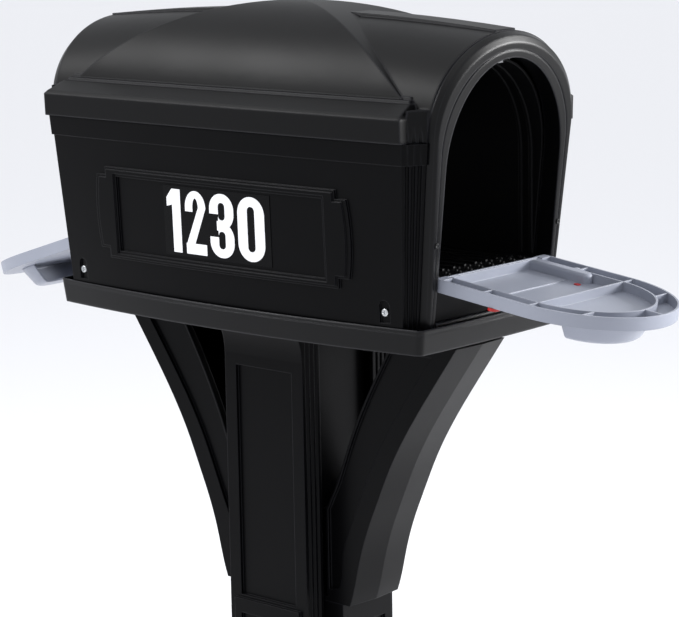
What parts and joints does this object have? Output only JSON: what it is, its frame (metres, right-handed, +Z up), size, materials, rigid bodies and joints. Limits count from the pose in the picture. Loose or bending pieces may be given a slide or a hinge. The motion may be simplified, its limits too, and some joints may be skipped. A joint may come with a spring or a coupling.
{
  "type": "curbside mailbox on a moulded post",
  "caption": "Curbside parcel mailbox with a drop-down door at each end, a lobed roof and a number panel, carried on a square moulded post with curved braces and a stepped foot.",
  "frame": {"origin": "on the ground at the centre of the foot and of the timber socket", "axes": "+X out of the front mouth, -Y towards the side with the number panel, +Z up"},
  "size_m": [1.047, 0.3248, 1.41],
  "materials": {
    "black_polyethylene": "moulded satin black with a fine grain",
    "grey_door_polyethylene": "moulded satin grey with a fine grain",
    "red_flag_plastic": "moulded gloss",
    "black_vinyl": "satin film",
    "white_vinyl": "satin film",
    "zinc_plated_steel": "bright zinc plate",
    "spring_steel": "bare spring steel",
    "black_coated_steel": "black powder coat"
  },
  "bodies": {
    "housing": {"base_tray": "black_polyethylene", "floor_pan": "black_polyethylene", "compartment_liner": "black_polyethylene", "roof_cover": "black_polyethylene", "near_side_panel": "black_polyethylene", "far_side_panel": "black_polyethylene", "front_mouth_frame": "black_polyethylene", "rear_mouth_frame": "black_polyethylene", "front_hinge_pins": "zinc_plated_steel", "rear_hinge_pins": "zinc_plated_steel", "front_door_catch": "spring_steel", "rear_door_catch": "spring_steel", "number_plate": "black_vinyl", "numerals": "white_vinyl", "side_screws": "zinc_plated_steel", "front_frame_screws": "black_coated_steel", "rear_frame_screws": "black_coated_steel", "head_bolts": "zinc_plated_steel", "head_plate": "black_coated_steel", "post_sleeve": "black_polyethylene", "near_pilaster": "black_polyethylene", "far_pilaster": "black_polyethylene", "front_brace": "black_polyethylene", "rear_brace": "black_polyethylene", "front_lower_pilaster": "black_polyethylene", "rear_lower_pilaster": "black_polyethylene", "foot": "black_polyethylene"},
    "front_door": {"front_door": "grey_door_polyethylene", "front_door_pull": "grey_door_polyethylene"},
    "rear_door": {"rear_door": "grey_door_polyethylene", "rear_door_pull": "grey_door_polyethylene"},
    "signal_flag": {"signal_flag": "red_flag_plastic"}
  },
  "joints": [
    {"name": "front_door_hinge", "type": "hinge", "parent": "housing", "child": "front_door", "pos_m": [0.2888, 0, 1.1075], "axis": [0, -1, 0], "range_deg": [0, 91]},
    {"name": "rear_door_hinge", "type": "hinge", "parent": "housing", "child": "rear_door", "pos_m": [-0.2888, 0, 1.1075], "axis": [0, 1, 0], "range_deg": [0, 101.7]},
    {"name": "flag_pivot", "type": "hinge", "parent": "front_door", "child": "signal_flag", "pos_m": [0.36894, 0.058, 1.10371], "axis": [0.1219, 0, 0.9925], "range_deg": [0, 25.5]}
  ]
}
